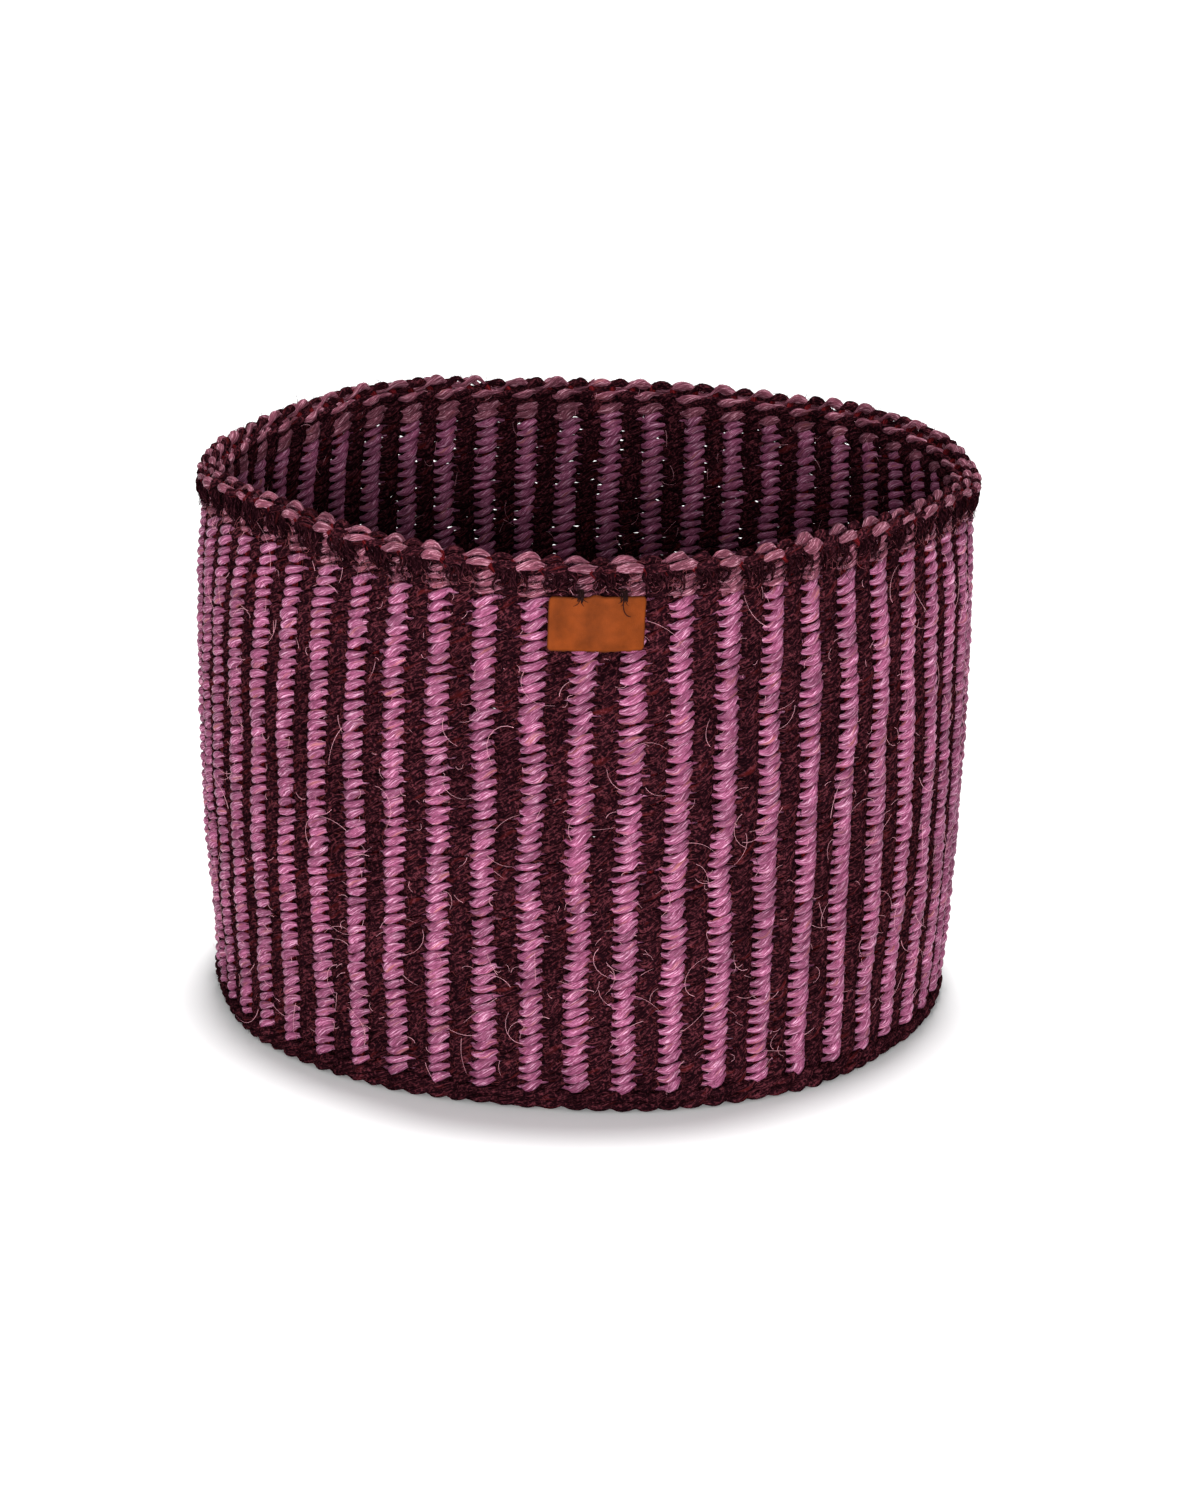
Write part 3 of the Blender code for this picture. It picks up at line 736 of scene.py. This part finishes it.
grain = add(tree, BUMP, {"Strength": 0.35, "Distance": pore_depth, "Height": pores})
creases = add(tree, NOISE, {"Vector": place, "Scale": 1 / crease_size, "Detail": 3.0})
grain = add(
    tree, BUMP, {"Strength": 0.5, "Distance": crease_depth, "Height": creases, "Normal": grain}
)
tree.links.new(grain.outputs[0], shader.inputs["Normal"])
shader.inputs["Roughness"].default_value = 0.55
shader.inputs["Specular IOR Level"].default_value = 0.04

chance = random.Random(7)
sheet = bmesh.new()
layer = sheet.verts.layers.float.new("edge")
loops = []
for row in range(label_rows + 1):
    share = (1 - math.cos(math.pi * row / label_rows)) / 2
    height = label_bottom + (label_top - label_bottom) * share
    from_end = min(height - label_bottom, label_top - height)
    corner = max(label_corner - from_end, 0.0)
    inset = label_corner - math.sqrt(label_corner ** 2 - corner ** 2)
    front_row, back_row = [], []
    for column in range(label_columns + 1):
        across = (1 - math.cos(math.pi * column / label_columns)) / 2
        side = label_left + inset + (label_width - 2 * inset) * across
        side += label_slant * (height - label_fold)
        from_side = min(across, 1 - across) * label_width
        edge = max(0.0, 1 - min(from_end, from_side) / edge_width)
        wobble = chance.uniform(-cut_wobble, cut_wobble) if row == 0 else 0.0
        peak = peak_height * math.exp(-((side - peak_place) / peak_width) ** 2) * share ** peak_fade
        wave = wave_depth * math.sin(side / wave_length + wave_start) * (1 - share)
        up = height + wobble + peak
        front = sheet.verts.new((side, label_front + wave - edge_drop * edge ** 2, up))
        back = sheet.verts.new((side, label_back + wave, up))
        front[layer] = edge
        back[layer] = 1.0
        front_row.append(front)
        back_row.append(back)
    loops.append((front_row, back_row))
for (front_low, back_low), (front_high, back_high) in zip(loops, loops[1:]):
    for left, right in zip(range(label_columns), range(1, label_columns + 1)):
        sheet.faces.new((front_low[left], front_low[right], front_high[right], front_high[left]))
        sheet.faces.new((back_low[right], back_low[left], back_high[left], back_high[right]))
    sheet.faces.new((back_low[0], front_low[0], front_high[0], back_high[0]))
    sheet.faces.new((front_low[-1], back_low[-1], back_high[-1], front_high[-1]))
for (front_row, back_row), upward in ((loops[0], False), (loops[-1], True)):
    for column in range(label_columns):
        face = (back_row[column], back_row[column + 1], front_row[column + 1], front_row[column])
        sheet.faces.new(face[::-1] if upward else face)
bmesh.ops.recalc_face_normals(sheet, faces=sheet.faces)
holder = bpy.data.objects.new("label_sheet", bpy.data.meshes.new("label_sheet"))
sheet.to_mesh(holder.data)
sheet.free()
bpy.context.scene.collection.objects.link(holder)
label = grow("label", drape_tree, {"Sheet": holder, "Material": leather}, None)
bpy.data.objects.remove(holder)
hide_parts("label_sewn_edge", "label_flap")
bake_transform(label)

# Label stitches
# Two stitches of thin dark cotton thread, laid several times over the top edge of the leather and
# pulled into the weave, with the ends left frayed. One end hangs loose over the leather.
thread_width = 0.32 * mm
thread_step = 0.3 * mm
left_stitch = -1.4 * mm
right_stitch = 10.7 * mm
threads_per_stitch = 6
frays_per_stitch = 9
first_thread = -0.8 * mm
# How low the threads end and how far they lean, and where the frayed ends come to, in mm.
thread_ends = (147.9, 148.9)
thread_lean = 0.4
fray_reach = 2.6
fray_heights = (147.4, 151.6)
fray_stands = (1.6, 2.6)


def thin_fibre(name, hex_colour, roughness):
    """Thread or fibre with no shine, too thin to show more than its dye."""
    material = bpy.data.materials.new(name)
    material.use_nodes = True
    shader = material.node_tree.nodes["Principled BSDF"]
    shader.inputs["Base Color"].default_value = linear(hex_colour)
    shader.inputs["Roughness"].default_value = roughness
    shader.inputs["Specular IOR Level"].default_value = 0.0
    return material


thread = thin_fibre("dark cotton sewing thread", "#1E1212", 0.85)
for name, middle in (("left", left_stitch), ("right", right_stitch)):
    paths = []
    for number in range(threads_per_stitch):
        side = middle + number * thread_width + first_thread
        low = chance.uniform(*thread_ends) * mm
        lean = chance.uniform(-thread_lean, thread_lean) * mm
        paths.append([
            (side - 0.2 * mm, -0.2 * mm, 151.6 * mm, 0.8),
            (side + 0.3 * lean, 1.0 * mm, 150.7 * mm, 1.0),
            (side + 0.6 * lean, 1.75 * mm, 149.7 * mm, 1.0),
            (side + lean, 1.6 * mm, low + 0.6 * mm, 1.0),
            (side + lean, 1.1 * mm, low, 0.6),
        ])
    for number in range(frays_per_stitch):
        across = chance.uniform(-fray_reach, fray_reach) * mm
        height = chance.uniform(*fray_heights) * mm
        stand = chance.uniform(*fray_stands) * mm
        paths.append([
            (middle, 1.4 * mm, 149.7 * mm, 0.8),
            (middle + 0.5 * across, stand, height + 0.5 * mm, 0.6),
            (middle + across, stand, height, 0.3),
        ])
    stitch = lay("label_stitch_" + name, paths, thread_step, thread_width, thread_width, 6, thread)
    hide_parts("label_stitch_" + name)
loose_path = [
    (right_stitch - 0.1 * mm, 1.7 * mm, 149.6 * mm, 0.9),
    (right_stitch - 0.5 * mm, 2.0 * mm, 147.6 * mm, 0.9),
    (right_stitch - 0.2 * mm, 1.9 * mm, 145.8 * mm, 0.8),
    (right_stitch + 0.6 * mm, 1.9 * mm, 144.8 * mm, 0.7),
    (right_stitch + 1.5 * mm, 2.2 * mm, 144.6 * mm, 0.5),
]
loose_thread = lay(
    "label_loose_thread", [loose_path], thread_step, thread_width, thread_width, 6, thread, body=None
)
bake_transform(loose_thread)

# Stray fibres
# Ends of sisal fibre that the spinning and weaving left standing off the cords, pale where the
# dye did not take. Long ones stand out singly and short ones lie over the dark stitches as fuzz.
tip_thinning = 0.6
least_rise = 0.1
hair_tree, given = new_tree(
    "stray fibres",
    {
        "Count": "Int", "Seed": "Int", "Points": "Int", "Lowest": "Float", "Highest": "Float",
        "Out": "Float", "Rise": "Float", "Shortest": "Float", "Longest": "Float", "Curl": "Float",
        "Width": "Float", "Material": "Material",
    },
    {"Mesh": "Geometry"},
)
line = add(hair_tree, "GeometryNodeCurvePrimitiveLine")
line = add(hair_tree, "GeometryNodeResampleCurve", {"Curve": line, "Count": given["Points"]})
roots = add(hair_tree, "GeometryNodeMeshLine", {"Count": given["Count"]})
hairs = add(hair_tree, "GeometryNodeInstanceOnPoints", {"Points": roots, "Instance": line})
hairs = add(hair_tree, "GeometryNodeRealizeInstances", {"Geometry": hairs})
which = add(hair_tree, "GeometryNodeCurveOfPoint").outputs["Curve Index"]
share = add(hair_tree, "GeometryNodeSplineParameter").outputs["Factor"]
draws = []
draw_limits = (
    (front_angle - math.pi, front_angle + math.pi), (given["Lowest"], given["Highest"]),
    (0.0, 2 * math.pi), (given["Shortest"], given["Longest"]), (least_rise, 1.0), (-1.0, 1.0),
)
for number, (low, high) in enumerate(draw_limits):
    seed = add(hair_tree, MATH, (given["Seed"], float(number)), operation="ADD")
    draw = add(hair_tree, "FunctionNodeRandomValue", data_type="FLOAT")
    for socket, value in ((2, low), (3, high), (7, which), (8, seed.outputs[0])):
        if isinstance(value, float):
            draw.inputs[socket].default_value = value
        else:
            hair_tree.links.new(value, draw.inputs[socket])
    draws.append(draw.outputs[1])
root_angle, root_height, heading, length, rise, bend = draws
bend = add(hair_tree, MATH, (bend, given["Curl"]), operation="MULTIPLY")
heading = add(hair_tree, MATH, (bend, share, heading), operation="MULTIPLY_ADD")
reach = add(hair_tree, MATH, (length, share), operation="MULTIPLY")
across = add(hair_tree, MATH, (heading,), operation="COSINE")
across = add(hair_tree, MATH, (across, reach), operation="MULTIPLY")
up = add(hair_tree, MATH, (heading,), operation="SINE")
height = add(hair_tree, MATH, (up, reach, root_height), operation="MULTIPLY_ADD")
angle = add(hair_tree, MATH, (across, 1 / unrolled_radius, root_angle), operation="MULTIPLY_ADD")
stand = add(hair_tree, MATH, (given["Rise"], rise), operation="MULTIPLY")
out = add(hair_tree, MATH, (stand, share, given["Out"]), operation="MULTIPLY_ADD")
placed = add(hair_tree, "GeometryNodeGroup", node_tree=place_tree)
for socket, value in (("Angle", angle), ("Height", height), ("Out", out)):
    hair_tree.links.new(value.outputs[0], placed.inputs[socket])
line = add(
    hair_tree, "GeometryNodeSetPosition", {"Geometry": hairs, "Position": placed.outputs["Position"]}
)
thinned = add(hair_tree, MATH, (share, -tip_thinning, 1.0), operation="MULTIPLY_ADD")
cord = add(hair_tree, "GeometryNodeGroup", node_tree=cord_tree)
for socket, value in (("Curve", line), ("Along", reach), ("Scale", thinned)):
    hair_tree.links.new(value.outputs[0], cord.inputs[socket])
for socket in ("Width", "Material"):
    hair_tree.links.new(given[socket], cord.inputs[socket])
hair_tree.links.new(given["Width"], cord.inputs["Depth"])
cord.inputs["Sides"].default_value = 3
realized = add(hair_tree, "GeometryNodeRealizeInstances", {"Geometry": cord})
add(hair_tree, "NodeGroupOutput", (realized,))

# The pale fibres catch the light, and the others darken and roughen the weave.
fibre_colours = {"pale": "#E4A4B2", "rose": "#8C4C54", "brown": "#602C2E", "burgundy": "#1C0C10"}
fibre_kinds = {}
for name, colour in fibre_colours.items():
    fibre_kinds[name] = thin_fibre(f"stray sisal fibre, {name}", colour, 0.5)
# A group's name, count, seed and points; its lowest and highest roots, place out and rise in mm;
# its shortest and longest fibre in mm; its curl, its width in mm, and its kind. A group draws its
# six random values from its seed and the five after it.
fibre_groups = (
    ("pale_long", 420, 110, 8, 9, 157, -0.9, 2.8, 4.0, 13.0, 1.6, 0.11, "pale"),
    ("pale_short", 800, 180, 4, 9, 157, -0.9, 1.6, 1.0, 4.0, 1.6, 0.11, "pale"),
    ("pale_inside", 500, 120, 5, 12, 156, -4.9, -2.2, 1.5, 6.0, 0.8, 0.10, "pale"),
    ("brown_outside", 8500, 130, 3, 2.8, 157, -1.5, 1.1, 0.7, 2.6, 1.2, 0.18, "brown"),
    ("burgundy_outside", 9000, 140, 3, 2.8, 157, -1.6, 1.3, 0.7, 2.4, 1.2, 0.24, "burgundy"),
    ("rim_burgundy", 3400, 150, 4, 149, 158, -0.3, 1.7, 1.4, 4.2, 2.8, 0.19, "burgundy"),
    ("rim_rose", 900, 160, 5, 149, 157, -0.1, 1.7, 1.4, 4.6, 2.4, 0.12, "rose"),
    ("foot_burgundy", 2200, 170, 3, 2.4, 6, -0.3, 1.0, 0.8, 2.4, 1.8, 0.14, "burgundy"),
)
for name, count, seed, points, low, high, out, rise, short, long, curl, width, kind in fibre_groups:
    fibres = grow("stray_fibres_" + name, hair_tree, {
        "Count": count, "Seed": seed, "Points": points, "Lowest": low * mm,
        "Highest": high * mm, "Out": out * mm, "Rise": rise * mm, "Shortest": short * mm,
        "Longest": long * mm, "Curl": curl, "Width": width * mm, "Material": fibre_kinds[kind],
    })

# Studio
# A matt white floor, a broad light overhead, two soft lights in front, and a long lens that looks
# down on the basket from a little above the rim.
floor_size = 60
light_aim = Vector((0, 0, 80 * mm))
white = bpy.data.materials.new("matt white floor")
white.use_nodes = True
shader = white.node_tree.nodes["Principled BSDF"]
shader.inputs["Base Color"].default_value = (0.8, 0.8, 0.8, 1.0)
shader.inputs["Roughness"].default_value = 1.0
shader.inputs["Specular IOR Level"].default_value = 0.1
bpy.ops.mesh.primitive_plane_add(size=floor_size, location=(0, 0, 0))
floor = bpy.context.object
floor.name = "floor"
floor.data.materials.append(white)

world = bpy.data.worlds.new("studio")
world.use_nodes = True
world.node_tree.nodes["Background"].inputs["Color"].default_value = (1, 1, 1, 1)
world.node_tree.nodes["Background"].inputs["Strength"].default_value = 0.56
bpy.context.scene.world = world
bpy.context.scene.view_settings.view_transform = "Standard"

overhead = bpy.data.objects.new("overhead", bpy.data.lights.new("overhead", "SUN"))
overhead.data.energy = 3.8
overhead.data.angle = math.radians(12)
overhead.rotation_euler = (math.radians(-8), math.radians(1), 0)
bpy.context.scene.collection.objects.link(overhead)
for name, place, size, power in (
    ("key", (-0.25, -1.7, 0.34), 0.5, 19.6),
    ("fill", (0.3, -1.7, 0.30), 0.5, 13.9),
):
    light = bpy.data.objects.new(name, bpy.data.lights.new(name, "AREA"))
    light.data.size = size
    light.data.energy = power
    light.location = place
    light.rotation_euler = (light_aim - Vector(place)).to_track_quat("-Z", "Y").to_euler()
    bpy.context.scene.collection.objects.link(light)

view_pitch = math.radians(17.56)
view_roll = math.radians(0.95)
view_distance = 1.3
focal_pixels = 4348
# The picture's height, its middle across and the basket's middle across, in pixels.
picture_height = 1500
picture_middle = 600
basket_middle = 582.6
aim_height = 71.4 * mm
camera = bpy.data.objects.new("camera", bpy.data.cameras.new("camera"))
camera.data.lens = focal_pixels * camera.data.sensor_width / picture_height
back = Vector((0, -math.cos(view_pitch), math.sin(view_pitch)))
sideways = (picture_middle - basket_middle) * view_distance / focal_pixels
camera.location = Vector((sideways, 0, aim_height)) + back * view_distance
camera.rotation_mode = "QUATERNION"
camera.rotation_quaternion = (-back).to_track_quat("-Z", "Y") @ Quaternion((0, 0, 1), view_roll)
camera.data.clip_start = 0.05
camera.data.clip_end = 50
bpy.context.scene.collection.objects.link(camera)
bpy.context.scene.camera = camera
